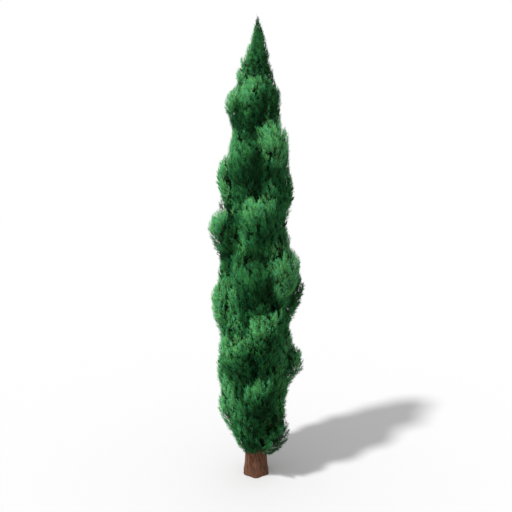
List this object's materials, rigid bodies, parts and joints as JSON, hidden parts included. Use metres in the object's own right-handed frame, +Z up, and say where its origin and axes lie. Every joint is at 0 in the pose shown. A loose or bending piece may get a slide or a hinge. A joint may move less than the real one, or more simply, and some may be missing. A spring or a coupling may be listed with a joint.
{
  "type": "cypress tree",
  "caption": "Tall narrow columnar cypress tree on one straight trunk, with upswept masses of dense foliage that bulge out of the column and close in a pointed spire.",
  "frame": {"origin": "middle of the flat cut under the trunk, at ground level", "axes": "+Z up the trunk to the tip, -Y towards the viewer of the picture, +X to the viewer's right"},
  "size_m": [2.1403, 1.9807, 10],
  "materials": {
    "bark": "fibrous grey-brown bark in long shallow strips",
    "foliage_dark": "matt dark green scale leaves",
    "foliage_mid": "matt mid green scale leaves",
    "foliage_light": "matt fresh green scale leaves"
  },
  "bodies": {
    "root": {"trunk": "bark", "foliage_mass_01": "foliage_dark", "foliage_mass_02": "foliage_mid", "foliage_mass_03": "foliage_light", "foliage_mass_04": "foliage_dark", "foliage_mass_05": "foliage_mid", "foliage_mass_06": "foliage_light", "foliage_mass_07": "foliage_dark", "foliage_mass_08": "foliage_mid", "foliage_mass_09": "foliage_light", "foliage_mass_10": "foliage_dark", "foliage_mass_11": "foliage_mid", "foliage_mass_12": "foliage_light", "foliage_mass_13": "foliage_dark", "foliage_mass_14": "foliage_mid", "foliage_mass_15": "foliage_light", "foliage_mass_16": "foliage_dark", "foliage_mass_17": "foliage_mid", "foliage_mass_18": "foliage_light", "foliage_mass_19": "foliage_dark", "foliage_mass_20": "foliage_mid", "foliage_mass_21": "foliage_light", "foliage_mass_22": "foliage_dark", "foliage_mass_23": "foliage_mid", "foliage_mass_24": "foliage_light", "foliage_mass_25": "foliage_dark", "foliage_mass_26": "foliage_mid", "foliage_mass_27": "foliage_light", "foliage_mass_28": "foliage_dark", "foliage_mass_29": "foliage_mid", "foliage_mass_30": "foliage_light", "foliage_mass_31": "foliage_dark", "foliage_mass_32": "foliage_mid", "foliage_mass_33": "foliage_light", "foliage_mass_34": "foliage_dark", "foliage_mass_35": "foliage_mid", "foliage_mass_36": "foliage_light", "foliage_mass_37": "foliage_dark", "foliage_mass_38": "foliage_mid", "foliage_mass_39": "foliage_light", "foliage_mass_40": "foliage_dark", "foliage_mass_41": "foliage_mid", "foliage_mass_42": "foliage_light", "foliage_mass_43": "foliage_dark", "foliage_mass_44": "foliage_mid", "foliage_mass_45": "foliage_light", "foliage_mass_46": "foliage_dark", "foliage_mass_47": "foliage_mid", "foliage_spire": "foliage_light"}
  },
  "joints": []
}
